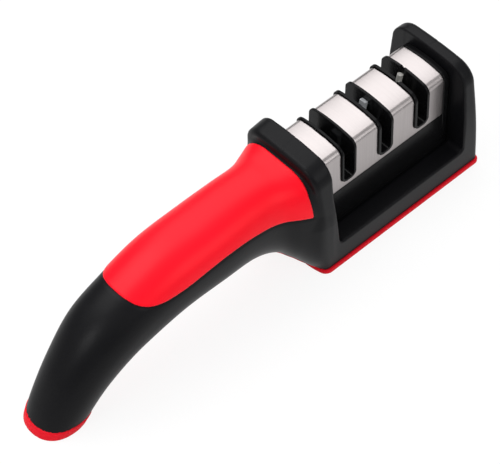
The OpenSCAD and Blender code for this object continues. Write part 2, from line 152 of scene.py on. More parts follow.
class SideTable:
    """A value for every place in the side view, read back between its grid points."""

    def __init__(self, low, high, step, make):
        self.low, self.step = np.array(low, float), step
        self.xs = np.arange(low[0], high[0] + step, step)
        self.zs = np.arange(low[1], high[1] + step, step)
        self.values = make(*np.meshgrid(self.xs, self.zs, indexing="ij"))

    def at(self, x, z):
        fx = np.clip((x - self.low[0]) / self.step, 0, len(self.xs) - 1.001)
        fz = np.clip((z - self.low[1]) / self.step, 0, len(self.zs) - 1.001)
        i, k = fx.astype(int), fz.astype(int)
        u, w = fx - i, fz - k
        v = self.values
        return ((1 - u) * (1 - w) * v[i, k] + u * (1 - w) * v[i + 1, k]
                + (1 - u) * w * v[i, k + 1] + u * w * v[i + 1, k + 1])


def station_of(x, z):
    """Place along the spine, in rows, of the section that each point of the side view lies in."""
    lean = np.radians(SPINE[:, 2])
    station = np.full(x.shape, float(len(SPINE) - 1))
    ahead = np.full(x.shape, np.inf)
    found = np.zeros(x.shape, bool)
    for row in range(len(SPINE)):
        g = (x - SPINE[row, 0]) * np.cos(lean[row]) + (z - SPINE[row, 1]) * np.sin(lean[row])
        crossing = (g < 0) & ~found
        part = np.where(np.isfinite(ahead), ahead / (ahead - g), 0.0)
        station[crossing] = (max(row - 1, 0) + part)[crossing]
        found |= crossing
        ahead = g
    return station


STATIONS = SideTable(*SIDE_VIEW, 0.5, station_of)


def handle(x, y, z, grow=0.0):
    """The handle and neck, grown by an amount."""
    row = np.clip(STATIONS.at(x, z), 0, len(SPINE) - 1)
    sx, sz, lean, half, depth, square, taper = (
        np.interp(row, np.arange(len(SPINE)), SPINE[:, k]) for k in range(7))
    lean = np.radians(lean)
    v = -np.sin(lean) * (x - sx) + np.cos(lean) * (z - sz)
    half, depth = half + grow, depth + grow
    width = half * (1 - taper * np.clip(v / depth, -1.3, 1.3))
    reach = ((np.abs(y) / width) ** square + (np.abs(v) / depth) ** square) ** (1 / square)
    out = np.sqrt(y * y + v * v)
    return np.maximum(out - out / np.maximum(reach, 1e-6), x - SPINE_END)


def round_and(a, b, radius):
    """Where both forms are, with their shared edge rounded."""
    inner = np.minimum(np.maximum(a, b), -radius)
    return inner + np.sqrt(np.maximum(a + radius, 0) ** 2 + np.maximum(b + radius, 0) ** 2)


def blend_or(a, b, fillet):
    """Either form, with a fillet in the corner between them."""
    h = np.maximum(fillet - np.abs(a - b), 0) / fillet
    return np.minimum(a, b) - h * h * fillet / 4


def soft_and(a, b, width):
    """Where both forms are, with a very wide and soft bend between them."""
    return -blend_or(-a, -b, width)


def sole_bow(y):
    """How far the sole's edge under the neck is bowed out towards the handle."""
    return SOLE_BOW * (1 - np.minimum(np.abs(y) / SOLE_HALF, 1) ** 4)


def head_block(x, y, z):
    """The head before the cradle is cut: faces that lean in towards the top, round upper corners,
    a low crown, the mould's fine line along the middle of the top, and a foot that follows the sole."""
    up = (z - SOLE_THICKNESS) / (WALL_TOP - SOLE_THICKNESS)
    leaning = (np.abs(y) - (SOLE_HALF - SIDE_LEAN * (z - TAPER_START))) / math.hypot(1, SIDE_LEAN)
    sides = soft_and(np.abs(y) - HEAD_HALF, leaning, SIDE_BEND)
    top = z - np.interp(x, *HEAD_TOP)
    top = top + HEAD_CROWN * y * y + MOULD_LINE * np.exp(-(y / MOULD_LINE_HALF) ** 2)
    free_end = x - (HEAD_END - SOLE_LIP - END_LEAN * up)
    near_sole = np.clip(1 - (z - SOLE_THICKNESS) / SOLE_BOW_HEIGHT, 0, 1) ** 2
    collar = SOLE_START + SOLE_LIP - COLLAR_LEAN * up - sole_bow(y) * near_sole - x
    arch = round_and(sides, top, WALL_ROUND)
    return round_and(round_and(arch, free_end, WALL_EDGE), collar, COLLAR_EDGE)


def cradle_void(x, y, z):
    """The space between the end walls down to the ledge, and the cartridge's seat with its key."""
    foot = COLLAR_FOOT * np.clip((COLLAR_FOOT_TOP - z) / (COLLAR_FOOT_TOP - LEDGE), 0, 1)
    flare = CRADLE_FLARE * np.clip((np.abs(y) - SEAT_HALF) / (HEAD_HALF - SEAT_HALF), 0, 1)
    walls = np.maximum(CRADLE[0] + foot - x, x - CRADLE[1] - flare)
    above_ledge = round_and(walls, LEDGE - z, LEDGE_FILLET)
    seat_ends = np.maximum(CRADLE[0] + SEAT_INSET - x, x - CRADLE[1] + SEAT_INSET)
    seat_plan = round_and(seat_ends, np.abs(y) - SEAT_HALF, SEAT_CORNER)
    seat = round_and(seat_plan, SEAT_FLOOR - z, SEAT_FILLET)
    key_ends = np.maximum(KEY_ENDS[0] - x, x - KEY_ENDS[1])
    key = round_and(np.maximum(key_ends, np.abs(y) - KEY_HALF), z - KEY_TOP, KEY_EDGE)
    return np.maximum(blend_or(above_ledge, seat, SEAT_EDGE), -key)


def parting_line():
    """Places along X and heights of the joint between shell and sole."""
    lean = np.radians(SPINE[:, 2])
    x = SPINE[:, 0] + np.sin(lean) * (SPINE[:, 4] - SOLE_THICKNESS)
    z = np.maximum(SPINE[:, 1] - np.cos(lean) * (SPINE[:, 4] - SOLE_THICKNESS), SOLE_THICKNESS)
    z = np.maximum(z, np.interp(x, TAIL_BAND_ENDS, (TAIL_BAND, SOLE_THICKNESS)))
    keep = SPINE[:, 0] < COLLAR_FACE
    return np.append(x[keep], SOLE_START + SOLE_LIP), np.append(z[keep], SOLE_THICKNESS)


PARTING = parting_line()


def above_parting(x, z):
    """Negative above the joint between shell and sole."""
    level = np.interp(x, *PARTING)
    slope = np.interp(x + 0.5, *PARTING) - np.interp(x - 0.5, *PARTING)
    return (level - z) / np.sqrt(1 + slope * slope)


def below_grip_edge(x, z):
    """Distance under the grip's lower edge in the side view, negative above it."""
    edge = smooth_through([(TAIL_END + s * HANDLE_LENGTH, r * HANDLE_RISE) for s, r in GRIP_EDGE], 12)
    # carried on upwards at the tail's end, and past the collar at the other
    edge = np.vstack([(edge[0, 0], 90.0), edge, (edge[-1, 0] + 40, edge[-1, 1] - 6)])
    nearest = np.full(x.shape, np.inf)
    inside = np.zeros(x.shape, bool)
    for (ax, az), (bx, bz) in zip(edge[:-1], edge[1:]):
        dx, dz = bx - ax, bz - az
        t = np.clip(((x - ax) * dx + (z - az) * dz) / (dx * dx + dz * dz), 0, 1)
        nearest = np.minimum(nearest, np.hypot(x - ax - t * dx, z - az - t * dz))
        if bx > ax:
            inside |= (x >= ax) & (x < bx) & (z > az + (x - ax) * dz / dx)
    return np.where(inside, -nearest, nearest)


GRIP_SIDE = SideTable(*SIDE_VIEW, 0.25, below_grip_edge)


def past_grip_end(x, z):
    """Distance past the grip's end by the collar."""
    heights, places = zip(*GRIP_END)
    return x - np.interp(z, heights, places)


def shell_form(x, y, z):
    """The black moulding: handle, collar, ledge and free end wall."""
    edge = GRIP_SIDE.at(x, z)
    handle_skin = handle(x, y, z)
    block = head_block(x, y, z)
    # a fine groove along the grip's edge, which fades out at the head
    groove = GROOVE_DEPTH * np.exp(-((edge - GROOVE_PLACE) / GROOVE_HALF) ** 2)
    groove = groove * np.clip((block - GROOVE_FADE_FROM) / GROOVE_FADE_OVER, 0, 1)
    # the neck's fillet widens with the distance from the grip
    widening = np.clip((edge - NECK_FILLET_FROM) / NECK_FILLET_OVER, 0, 1)
    fillet = NECK_FILLET + NECK_FILLET_GAIN * widening
    body = soft_and(blend_or(handle_skin + groove, block, fillet), np.abs(y) - HEAD_HALF, FLANK_BEND)
    recess = np.maximum(np.maximum(edge, past_grip_end(x, z)) + GRIP_LAP, -handle(x, y, z, -GRIP_DEPTH))
    body = np.maximum(body, -recess)
    body = round_and(body, -cradle_void(x, y, z), CRADLE_EDGE)
    return np.maximum(body, above_parting(x, z) - np.where(block > 0, HANDLE_LAP, 0.0))


def grip_form(x, y, z):
    """The soft grip let into the handle, standing a little proud."""
    outside = round_and(handle(x, y, z, GRIP_PROUD), GRIP_SIDE.at(x, z), GRIP_EDGE_ROUND)
    outside = round_and(outside, past_grip_end(x, z), GRIP_END_ROUND)
    return np.maximum(outside, -handle(x, y, z, -GRIP_DEPTH))


def sole_form(x, y, z):
    """The soft sole: a flat pad under the head, a strip under the handle and the tail's foot."""
    ends = np.maximum(SOLE_START - sole_bow(y) - x, x - HEAD_END)
    plan = round_and(ends, np.abs(y) - SOLE_HALF, SOLE_CORNER)
    pad = round_and(plan, z - SOLE_THICKNESS, SOLE_EDGE)
    strip = round_and(handle(x, y, z, SOLE_LIP / 2), -above_parting(x, z), SOLE_EDGE)
    strip = np.maximum(strip, x - (SOLE_START + STRIP_LAP))
    return round_and(blend_or(pad, strip, SOLE_FILLET), -z, SOLE_EDGE)


def cover_section(y, z, grow):
    """End view of the cover: nearly upright sides, tight shoulders and a low crown."""
    side = np.abs(y) - (COVER_HALF + grow - COVER_LEAN * z)
    top = z - (COVER_TOP + grow - COVER_CROWN * (y / COVER_CROWN_HALF) ** 2)
    return round_and(side, top, SHOULDER + grow)


def cover_form(x, y, z):
    """The steel cover: a thin bent sheet with three slots cut from the top."""
    sheet = np.maximum(cover_section(y, z, 0.0), -cover_section(y, z, -SHEET))
    ends = np.maximum(np.maximum(COVER[0] - x, x - COVER[1]), COVER_SKIRT - z)
    solid = round_and(sheet, ends, SHEET_EDGE)
    for middle in SLOTS:
        slot = round_and(np.abs(x - middle) - SLOT_HALF, SLOT_BOTTOM - z, SLOT_CORNER)
        solid = round_and(solid, -slot, SHEET_EDGE)
    return solid


def cap_form(face, inner):
    """Form of an end cap from its outer face to the cartridge, with the seats and holes of its two screws."""
    def form(x, y, z):
        outline = round_and(cover_section(y, z, 0.0), CAP_BOTTOM - z, CAP_EDGE)
        solid = round_and(outline, np.maximum(min(face, inner) - x, x - max(face, inner)), CAP_EDGE)
        for side in (-CAP_SCREW_Y, CAP_SCREW_Y):
            away = np.hypot(y - side, z - CAP_SCREW_Z)
            seat = np.maximum(away - CAP_SEAT, np.abs(x - face) - CAP_SEAT_DEPTH)
            solid = round_and(solid, -np.minimum(seat, away - CAP_HOLE), CAP_HOLE_EDGE)
        return solid
    return form


# ---- meshes

SAME_POINT = 1e-6                  # metres
FLAT_WITHIN = math.radians(0.4)    # faces of a solid that are one face
EASE_FROM = math.radians(32)       # edges of a solid that are eased


def skin_of(form, low, high, step):
    """Vertices in millimetres and quads of a form's surface, on a grid of the given step."""
    axes = [np.arange(a, b + step, step) for a, b in zip(low, high)]
    value = form(*np.meshgrid(*axes, indexing="ij"))
    solid = value < 0
    shape = np.array(solid.shape) - 1
    corners = [(i, j, k) for i in (0, 1) for j in (0, 1) for k in (0, 1)]

    def corner(array, c):
        return array[tuple(slice(o, o + n) for o, n in zip(c, shape))]

    count = sum(corner(solid, c).astype(np.int8) for c in corners)
    cells = np.argwhere((count > 0) & (count < 8))
    number = np.full(tuple(shape), -1, np.int64)
    number[tuple(cells.T)] = np.arange(len(cells))
    total, hits = np.zeros((len(cells), 3)), np.zeros(len(cells))
    for a in corners:
        for axis in range(3):
            if a[axis]:
                continue
            b = tuple(o + (k == axis) for k, o in enumerate(a))
            va, vb = value[tuple((cells + a).T)], value[tuple((cells + b).T)]
            cut = (va < 0) != (vb < 0)
            t = np.where(cut, va / np.where(cut, va - vb, 1), 0)
            spot = np.array(a, float) + t[:, None] * (np.arange(3) == axis)
            total += np.where(cut[:, None], spot, 0)
            hits += cut
    points = np.array([a[0] for a in axes]) + step * (cells + total / hits[:, None])
    quads = []
    for axis in range(3):
        b, c = (axis + 1) % 3, (axis + 2) % 3
        one = [slice(None)] * 3
        two = [slice(None)] * 3
        one[axis], two[axis] = slice(0, -1), slice(1, None)
        first, second = solid[tuple(one)], solid[tuple(two)]
        for turned, change in ((False, first & ~second), (True, ~first & second)):
            at = np.argwhere(change)
            at = at[(at[:, b] > 0) & (at[:, c] > 0) & (at[:, b] < shape[b]) & (at[:, c] < shape[c])]
            step_b, step_c = np.eye(3, dtype=int)[b], np.eye(3, dtype=int)[c]
            ring = [at - step_b - step_c, at - step_c, at, at - step_b]
            face = np.stack([number[tuple(r.T)] for r in ring], 1)
            quads.append(face[:, ::-1] if turned else face)
    quads = np.vstack(quads)
    return settle(form, points, quads, step), quads


def settle(form, points, quads, step):
    """Evens out the points along the surface and draws them onto it."""
    pairs = np.vstack([quads[:, [k, (k + 1) % 4]] for k in range(4)])
    pairs = np.unique(np.sort(pairs, 1), axis=0)
    degree = np.bincount(pairs.ravel(), minlength=len(points))[:, None]
    nudge = 0.02
    for even_out in (True, True, True, False, False):
        if even_out:
            around = np.zeros_like(points)
            np.add.at(around, pairs[:, 0], points[pairs[:, 1]])
            np.add.at(around, pairs[:, 1], points[pairs[:, 0]])
            points = 0.5 * points + 0.5 * around / degree
        value = form(*points.T)
        slope = np.stack([(form(*(points + side).T) - form(*(points - side).T)) / (2 * nudge)
                          for side in nudge * np.eye(3)], 1)
        steep = np.maximum((slope ** 2).sum(1), 0.05)
        points = points - np.clip(value / steep, -step, step)[:, None] * slope
    return points


def mesh_of(name, points, faces):
    """A mesh in metres with smooth faces, from points in millimetres."""
    mesh = bpy.data.meshes.new(name)
    mesh.from_pydata((np.asarray(points) * MM).tolist(), [], np.asarray(faces).tolist())
    mesh.polygons.foreach_set("use_smooth", np.ones(len(mesh.polygons), bool))
    mesh.update()
    return mesh


def piece_of(mesh, body, slot, node):
    """A finished piece that rides on a body, has a slot's finish and stands for a solid."""
    piece = bpy.data.objects.new(mesh.name, mesh)
    bpy.context.scene.collection.objects.link(piece)
    mesh.materials.clear()
    mesh.materials.append(FINISHES[slot])
    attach(piece, body)
    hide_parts(node)


def applied(piece, name):
    """The piece's mesh with its modifiers in it, in place of the mesh that it started from."""
    bpy.context.view_layer.update()
    mesh = bpy.data.meshes.new_from_object(piece.evaluated_get(bpy.context.evaluated_depsgraph_get()))
    start = piece.data
    bpy.data.objects.remove(piece)
    bpy.data.meshes.remove(start)
    mesh.name = name
    return mesh


def eased(node, name, width):
    """A solid's shape with its sharp edges eased by a small round."""
    shape = bmesh.new()
    shape.from_mesh(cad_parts[node].data)
    bmesh.ops.remove_doubles(shape, verts=shape.verts, dist=SAME_POINT)
    bmesh.ops.dissolve_limit(shape, angle_limit=FLAT_WITHIN, verts=shape.verts, edges=shape.edges)
    mesh = bpy.data.meshes.new(name)
    shape.to_mesh(mesh)
    shape.free()
    mesh.polygons.foreach_set("use_smooth", np.ones(len(mesh.polygons), bool))
    piece = bpy.data.objects.new(name, mesh)
    bpy.context.scene.collection.objects.link(piece)
    bevel = piece.modifiers.new("eased edges", "BEVEL")
    bevel.width = width * MM
    bevel.segments = 3
    bevel.limit_method = "ANGLE"
    bevel.angle_limit = EASE_FROM
    flat = piece.modifiers.new("flat faces", "WEIGHTED_NORMAL")
    flat.weight = 100
    flat.keep_sharp = True
    return applied(piece, name)


# ---- materials

def colour(code):
    """Linear colour of an sRGB hex value."""
    parts = [int(code[k:k + 2], 16) / 255 for k in (1, 3, 5)]
    return (*[p / 12.92 if p <= 0.04045 else ((p + 0.055) / 1.055) ** 2.4 for p in parts], 1.0)


def per_metre(size):
    """Texture scale whose features are about a size in millimetres."""
    return 1 / (size * MM)


def add(tree, kind, inputs=None, **settings):
    """Adds a node with its settings, values and links."""
    node = tree.nodes.new(kind)
    for key, value in settings.items():
        setattr(node, key, value)
    for key, value in (inputs or {}).items():
        if isinstance(value, bpy.types.NodeSocket):
            tree.links.new(value, node.inputs[key])
        else:
            node.inputs[key].default_value = value
    return node


def new_material(name):
    """A material with an empty tree, its shader and its object coordinates."""
    material = bpy.data.materials.new(name)
    material.use_nodes = True
    tree = material.node_tree
    tree.nodes.clear()
    shader = add(tree, "ShaderNodeBsdfPrincipled")
    add(tree, "ShaderNodeOutputMaterial", {"Surface": shader.outputs["BSDF"]})
    place = add(tree, "ShaderNodeTexCoord").outputs["Object"]
    return material, tree, shader, place


def moulded_black(name, dark, light, roughness, shine, grain):
    """ABS moulded in a spark-eroded or a polished tool: a fine even grain, a sheen, a slight cloudiness."""
    gloss_drift = 0.05
    material, tree, shader, place = new_material(name)
    cloud = add(tree, "ShaderNodeTexNoise", {"Vector": place, "Scale": per_metre(26), "Detail": 3.0})
    tone = add(tree, "ShaderNodeMix", {"Factor": cloud.outputs["Fac"], "A": colour(dark), "B": colour(light)},
               data_type="RGBA")
    # the real grain is about 0.1 mm; it is drawn coarser so that it shows
    grit = add(tree, "ShaderNodeTexNoise", {"Vector": place, "Scale": per_metre(grain), "Detail": 2.0})
    gloss = add(tree, "ShaderNodeMapRange", {
        "Value": cloud.outputs["Fac"], "To Min": roughness - gloss_drift, "To Max": roughness + gloss_drift})
    bump = add(tree, "ShaderNodeBump", {
        "Height": grit.outputs["Fac"], "Strength": 0.5, "Distance": 0.06 * MM})
    tree.links.new(tone.outputs["Result"], shader.inputs["Base Color"])
    tree.links.new(gloss.outputs["Result"], shader.inputs["Roughness"])
    tree.links.new(bump.outputs["Normal"], shader.inputs["Normal"])
    shader.inputs["IOR"].default_value = 1.53
    shader.inputs["Specular IOR Level"].default_value = shine
    return material


def soft_red(name, deep, bright, roughness):
    """Thermoplastic elastomer moulded over the shell: dense red, soft broad sheen, very fine matt grain."""
    material, tree, shader, place = new_material(name)
    cloud = add(tree, "ShaderNodeTexNoise", {"Vector": place, "Scale": per_metre(34), "Detail": 2.0})
    tone = add(tree, "ShaderNodeMix", {"Factor": cloud.outputs["Fac"], "A": colour(deep), "B": colour(bright)},
               data_type="RGBA")
    # the real grain is about 0.1 mm; it is drawn at 0.3 mm so that it shows from close by
    grit = add(tree, "ShaderNodeTexNoise", {"Vector": place, "Scale": per_metre(0.3), "Detail": 2.0})
    bump = add(tree, "ShaderNodeBump", {
        "Height": grit.outputs["Fac"], "Strength": 0.15, "Distance": 0.03 * MM})
    tree.links.new(tone.outputs["Result"], shader.inputs["Base Color"])
    tree.links.new(bump.outputs["Normal"], shader.inputs["Normal"])
    shader.inputs["Roughness"].default_value = roughness
    shader.inputs["IOR"].default_value = 1.49
    shader.inputs["Specular IOR Level"].default_value = 0.16
    return material


def brushed_stainless(name):
    """Stainless sheet brushed across the cartridge: fine lines round the section, stretched reflections."""
    material, tree, shader, place = new_material(name)
    # the real lines are about 0.05 mm apart; they are drawn at 0.25 mm so that they show
    stretched = add(tree, "ShaderNodeVectorMath", {
        0: place, 1: (per_metre(0.25), per_metre(30), per_metre(30))}, operation="MULTIPLY")
    lines = add(tree, "ShaderNodeTexNoise", {
        "Vector": stretched.outputs["Vector"], "Scale": 1.0, "Detail": 4.0})
    # the grey is partly the steel's own colour; its faint pink tint is a painted reflection of the red grip and
    # sole
    tone = add(tree, "ShaderNodeMix", {
        "Factor": lines.outputs["Fac"], "A": colour("#9a9494"), "B": colour("#b3adac")}, data_type="RGBA")
    gloss = add(tree, "ShaderNodeMapRange", {"Value": lines.outputs["Fac"], "To Min": 0.24, "To Max": 0.38})
    bump = add(tree, "ShaderNodeBump", {
        "Height": lines.outputs["Fac"], "Strength": 0.12, "Distance": 0.02 * MM})
    tree.links.new(tone.outputs["Result"], shader.inputs["Base Color"])
    tree.links.new(gloss.outputs["Result"], shader.inputs["Roughness"])
    tree.links.new(bump.outputs["Normal"], shader.inputs["Normal"])
    shader.inputs["Metallic"].default_value = 1.0
    shader.inputs["Anisotropic"].default_value = 0.4
    return material


def ground_carbide(name):
    """Sintered tungsten carbide with ground faces: grey metal with fine grinding lines along the bar."""
    material, tree, shader, place = new_material(name)
    # the real lines are about 0.05 mm apart; they are drawn at 0.2 mm so that they show from close by
    stretched = add(tree, "ShaderNodeVectorMath", {
        0: place, 1: (per_metre(0.2), per_metre(0.2), per_metre(6))}, operation="MULTIPLY")
    lines = add(tree, "ShaderNodeTexNoise", {
        "Vector": stretched.outputs["Vector"], "Scale": 1.0, "Detail": 3.0})
    tone = add(tree, "ShaderNodeMix", {
        "Factor": lines.outputs["Fac"], "A": colour("#a6a8ac"), "B": colour("#c4c6c9")}, data_type="RGBA")
    bump = add(tree, "ShaderNodeBump", {
        "Height": lines.outputs["Fac"], "Strength": 0.2, "Distance": 0.02 * MM})
    tree.links.new(tone.outputs["Result"], shader.inputs["Base Color"])
    tree.links.new(bump.outputs["Normal"], shader.inputs["Normal"])
    shader.inputs["Metallic"].default_value = 0.2
    shader.inputs["Roughness"].default_value = 0.42
    return material


def fired_ceramic(name):
    """Fired alumina rod: pale warm grey, matt, with a fine grit."""
    material, tree, shader, place = new_material(name)
    # the real grit is a few hundredths of a millimetre; it is drawn at 0.15 mm so that it shows from close by
    grit = add(tree, "ShaderNodeTexNoise", {"Vector": place, "Scale": per_metre(0.15), "Detail": 3.0})
    tone = add(tree, "ShaderNodeMix", {
        "Factor": grit.outputs["Fac"], "A": colour("#9c9a96"), "B": colour("#aeaca8")}, data_type="RGBA")
    bump = add(tree, "ShaderNodeBump", {
        "Height": grit.outputs["Fac"], "Strength": 0.3, "Distance": 0.03 * MM})
    tree.links.new(tone.outputs["Result"], shader.inputs["Base Color"])
    tree.links.new(bump.outputs["Normal"], shader.inputs["Normal"])
    shader.inputs["Roughness"].default_value = 0.6
    shader.inputs["IOR"].default_value = 1.6
    return material


def zinc_plate(name):
    """Bright zinc on steel screws: pale grey metal with a faint mottle."""
    material, tree, shader, place = new_material(name)
    mottle = add(tree, "ShaderNodeTexNoise", {"Vector": place, "Scale": per_metre(0.8), "Detail": 3.0})
    tone = add(tree, "ShaderNodeMix", {
        "Factor": mottle.outputs["Fac"], "A": colour("#9a9ca0"), "B": colour("#c3c5c8")}, data_type="RGBA")
    gloss = add(tree, "ShaderNodeMapRange", {"Value": mottle.outputs["Fac"], "To Min": 0.25, "To Max": 0.4})
    tree.links.new(tone.outputs["Result"], shader.inputs["Base Color"])
    tree.links.new(gloss.outputs["Result"], shader.inputs["Roughness"])
    shader.inputs["Metallic"].default_value = 1.0
    return material


# The finish of each slot of the record.
FINISHES = {
    "shell_black": moulded_black("ABS, spark-eroded satin black", "#0e0e10", "#131315",
                                 roughness=0.38, shine=0.09, grain=0.8),
    "cartridge_black": moulded_black("ABS, polished black", "#0b0b0c", "#101011",
                                     roughness=0.22, shine=0.07, grain=0.8),
    "grip_red": soft_red("soft-touch elastomer, red", "#f2021a", "#f80622", roughness=0.38),
    "sole_red": soft_red("sole elastomer, red", "#d4041b", "#dd0821", roughness=0.55),
    "cover_steel": brushed_stainless("stainless sheet, brushed"),
    "carbide": ground_carbide("tungsten carbide, ground"),
    "rod_ceramic": fired_ceramic("alumina ceramic, fired"),
    "screw_steel": zinc_plate("steel, bright zinc plated"),
}


# ---- screws

SCREW_SIZES = {"Head Height": 1.3 * MM, "Recess Width": 0.5 * MM, "Recess Depth": 0.7 * MM, "Head Share": 1.8}
PITCH_SHARE, SPAN_SHARE = 0.35, 1.1    # of the diameter: the thread's pitch, the cross's span
RIM_DRAWN_IN, BLUNT_END = 0.16, 0.3    # shares of the width: lost at the head's face, left at the shank's end
THREAD_MIDDLE, THREAD_HEIGHT = 0.9, 0.08
SHARP_FROM = math.radians(40)

# Where each screw's head has the middle of its face, and the turn of its shank in degrees.
UPRIGHT = (0, 0, 0)
PLATE_SCREWS = [(place, UPRIGHT) for place in (
    (-49.515, 0, 21.738), (-8.826, 0, 23.094), (98.2, -12.1, 2.5), (98.2, 12.1, 2.5))]
FOOT_SCREWS = [((x, y, 11.9), UPRIGHT) for x in (34.0, 88.0) for y in (-7.6, 7.6)]
CAP_SCREWS = [((x, y, CAP_SCREW_Z), (0, turn, 0)) for x, turn in ((27.1, 90), (94.9, -90))
              for y in (-CAP_SCREW_Y, CAP_SCREW_Y)]
LINING_SCREWS = [((x, 0, 14.9), UPRIGHT) for x in SLOTS]


def screw_tree():
    """Nodes that set a screw with a cross recess, a rolled thread and a tapered end on every point."""
    tree = bpy.data.node_groups.new("cross-recess screws", "GeometryNodeTree")
    for name, kind in (("Points", "Geometry"), ("Diameter", "Float"), ("Length", "Float"),
                       ("Head Share", "Float"), ("Head Height", "Float"), ("Recess Width", "Float"),
                       ("Recess Depth", "Float"), ("Pitch", "Float"), ("Metal", "Material")):
        tree.interface.new_socket(name, in_out="INPUT", socket_type="NodeSocket" + kind)
    tree.interface.new_socket("Screws", in_out="OUTPUT", socket_type="NodeSocketGeometry")
    given = add(tree, "NodeGroupInput").outputs
    place = add(tree, "GeometryNodeInputPosition").outputs["Position"]
    along = add(tree, "ShaderNodeSeparateXYZ", {"Vector": place}).outputs

    # head: its outer face at zero, its rim rounded off towards that face
    wide = add(tree, "ShaderNodeMath", {0: given["Diameter"], 1: given["Head Share"]}, operation="MULTIPLY")
    radius = add(tree, "ShaderNodeMath", {0: wide.outputs[0], 1: 0.5}, operation="MULTIPLY")
    middle = add(tree, "ShaderNodeMath", {0: given["Head Height"], 1: 0.5}, operation="MULTIPLY")
    head = add(tree, "GeometryNodeMeshCylinder", {
        "Vertices": 32, "Side Segments": 6, "Radius": radius.outputs[0], "Depth": given["Head Height"]})
    raised = add(tree, "ShaderNodeCombineXYZ", {"Z": middle.outputs[0]})
    head = add(tree, "GeometryNodeTransform", {
        "Geometry": head.outputs["Mesh"], "Translation": raised.outputs[0]})
    depth = add(tree, "ShaderNodeMapRange", {
        "Value": along["Z"], "From Max": given["Head Height"], "To Min": 1.0, "To Max": 0.0})
    fall = add(tree, "ShaderNodeMath", {0: depth.outputs["Result"], 1: 3.0}, operation="POWER")
    rim = add(tree, "ShaderNodeMath", {0: fall.outputs[0], 1: -RIM_DRAWN_IN, 2: 1.0}, operation="MULTIPLY_ADD")
    drawn_in = add(tree, "ShaderNodeCombineXYZ", {"X": rim.outputs[0], "Y": rim.outputs[0], "Z": 1.0})
    rounded = add(tree, "ShaderNodeVectorMath", {0: place, 1: drawn_in.outputs[0]}, operation="MULTIPLY")
    head = add(tree, "GeometryNodeSetPosition", {
        "Geometry": head.outputs["Geometry"], "Position": rounded.outputs["Vector"]})

    # shank: a right-hand thread, drawn in to a blunt point over its last diameter
    end = add(tree, "ShaderNodeMath", {0: given["Head Height"], 1: given["Length"]}, operation="ADD")
    half = add(tree, "ShaderNodeMath", {0: given["Diameter"], 1: 0.5}, operation="MULTIPLY")
    centre = add(tree, "ShaderNodeMath", {0: end.outputs[0], 1: middle.outputs[0]}, operation="ADD")
    centre = add(tree, "ShaderNodeMath", {0: centre.outputs[0], 1: 0.5}, operation="MULTIPLY")
    reach = add(tree, "ShaderNodeMath", {0: end.outputs[0], 1: middle.outputs[0]}, operation="SUBTRACT")
    shank = add(tree, "GeometryNodeMeshCylinder", {
        "Vertices": 20, "Side Segments": 64, "Radius": half.outputs[0], "Depth": reach.outputs[0]})
    raised = add(tree, "ShaderNodeCombineXYZ", {"Z": centre.outputs[0]})
    shank = add(tree, "GeometryNodeTransform", {
        "Geometry": shank.outputs["Mesh"], "Translation": raised.outputs[0]})
    turns = add(tree, "ShaderNodeMath", {0: along["Z"], 1: given["Pitch"]}, operation="DIVIDE")
    around = add(tree, "ShaderNodeMath", {0: along["X"], 1: along["Y"]}, operation="ARCTAN2")
    phase = add(tree, "ShaderNodeMath", {
        0: turns.outputs[0], 1: 2 * math.pi, 2: around.outputs[0]}, operation="MULTIPLY_ADD")
    wave = add(tree, "ShaderNodeMath", {0: phase.outputs[0]}, operation="SINE")
    ridge = add(tree, "ShaderNodeMath", {
        0: wave.outputs[0], 1: THREAD_HEIGHT, 2: THREAD_MIDDLE}, operation="MULTIPLY_ADD")
    last = add(tree, "ShaderNodeMath", {0: end.outputs[0], 1: given["Diameter"]}, operation="SUBTRACT")
    taper = add(tree, "ShaderNodeMapRange", {
        "Value": along["Z"], "From Min": last.outputs[0], "From Max": end.outputs[0],
        "To Min": 1.0, "To Max": BLUNT_END})
    width = add(tree, "ShaderNodeMath", {0: ridge.outputs[0], 1: taper.outputs["Result"]}, operation="MULTIPLY")
    drawn_in = add(tree, "ShaderNodeCombineXYZ", {"X": width.outputs[0], "Y": width.outputs[0], "Z": 1.0})
    threaded = add(tree, "ShaderNodeVectorMath", {0: place, 1: drawn_in.outputs[0]}, operation="MULTIPLY")
    shank = add(tree, "GeometryNodeSetPosition", {
        "Geometry": shank.outputs["Geometry"], "Position": threaded.outputs["Vector"]})

    # one solid of both, with the cross cut into the head
    whole = add(tree, "GeometryNodeMeshBoolean", operation="UNION", solver="EXACT")
    for solid in (head, shank):
        tree.links.new(solid.outputs["Geometry"], whole.inputs["Mesh 2"])
    span = add(tree, "ShaderNodeMath", {0: given["Diameter"], 1: SPAN_SHARE}, operation="MULTIPLY")
    tall = add(tree, "ShaderNodeMath", {0: given["Recess Depth"], 1: 2.0}, operation="MULTIPLY")
    cut = add(tree, "GeometryNodeMeshBoolean", {"Mesh 1": whole.outputs["Mesh"]},
              operation="DIFFERENCE", solver="EXACT")
    for x, y in ((span.outputs[0], given["Recess Width"]), (given["Recess Width"], span.outputs[0])):
        size = add(tree, "ShaderNodeCombineXYZ", {"X": x, "Y": y, "Z": tall.outputs[0]})
        bar = add(tree, "GeometryNodeMeshCube", {"Size": size.outputs[0]})
        tree.links.new(bar.outputs["Mesh"], cut.inputs["Mesh 2"])

    turn = add(tree, "GeometryNodeInputNamedAttribute", {"Name": "turn"}, data_type="FLOAT_VECTOR")
    turn = add(tree, "FunctionNodeEulerToRotation", {"Euler": turn.outputs["Attribute"]})
    placed = add(tree, "GeometryNodeInstanceOnPoints", {
        "Points": given["Points"], "Instance": cut.outputs["Mesh"], "Rotation": turn.outputs["Rotation"]})
    real = add(tree, "GeometryNodeRealizeInstances", {"Geometry": placed.outputs["Instances"]})
    plated = add(tree, "GeometryNodeSetMaterial", {
        "Geometry": real.outputs["Geometry"], "Material": given["Metal"]})
    add(tree, "NodeGroupOutput", {"Screws": plated.outputs["Geometry"]})
    return tree


SCREWS = screw_tree()


